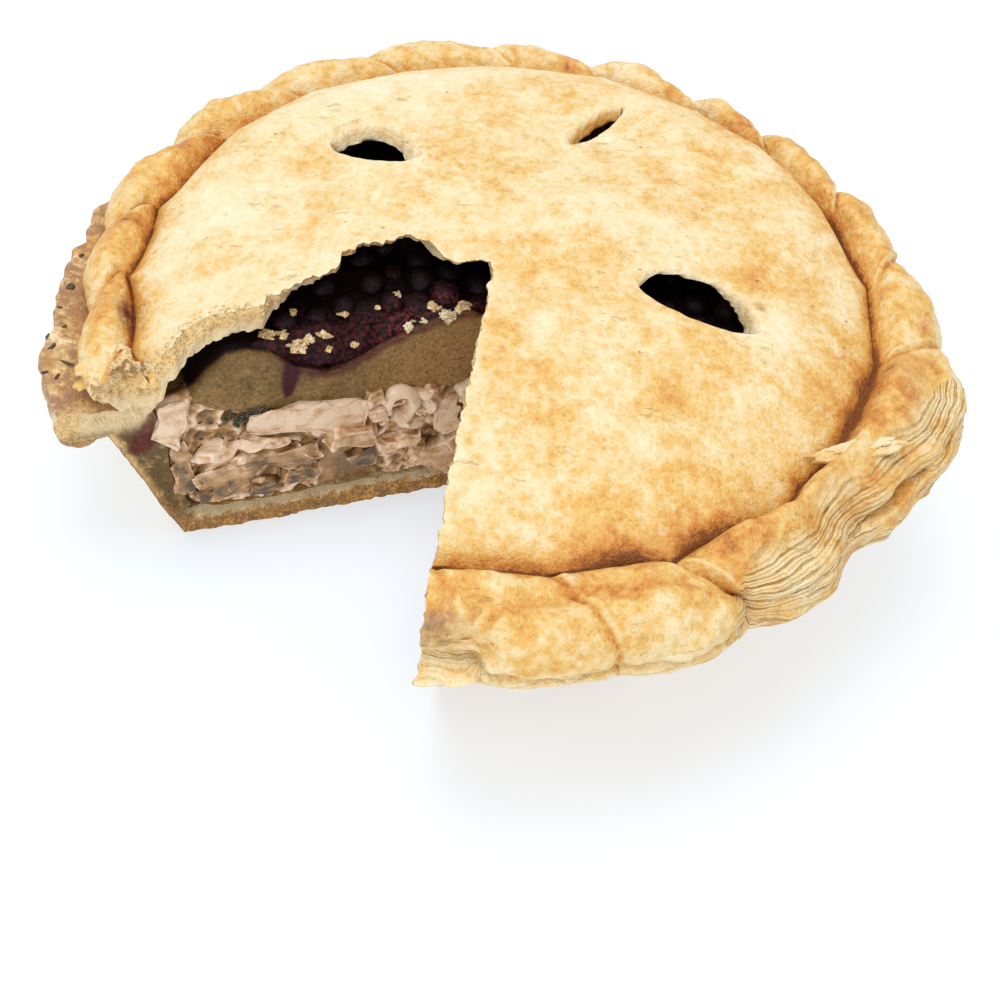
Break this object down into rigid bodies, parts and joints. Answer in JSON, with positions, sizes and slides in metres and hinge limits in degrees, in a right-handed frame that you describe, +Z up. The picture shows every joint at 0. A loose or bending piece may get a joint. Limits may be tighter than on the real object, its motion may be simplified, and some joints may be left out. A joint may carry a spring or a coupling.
{
  "type": "turkey pie",
  "caption": "Deep round double-crust turkey pie with a crimped rim, a vented domed lid and a slice cut out, showing turkey, stuffing and cranberry layers.",
  "frame": {"origin": "middle of the pie's box at the underside of its base; the rim's axis is at x -0.0028, y -0.0009", "axes": "+Z up through the lid, -Y towards the side with the cut-out slice, +X to the right of that view"},
  "size_m": [0.2549, 0.2545, 0.082],
  "materials": {
    "case_pastry": "baked shortcrust, browned",
    "lid_pastry": "baked shortcrust, pale gold with brown patches",
    "turkey": "moist meat in set gravy",
    "stuffing": "dense, moist, speckled with herbs",
    "cranberry": "glossy cooked fruit"
  },
  "bodies": {
    "root": {"pastry_case": "case_pastry", "pastry_lid": "lid_pastry", "turkey_filling": "turkey", "stuffing_layer": "stuffing", "cranberry_layer": "cranberry"}
  },
  "joints": []
}
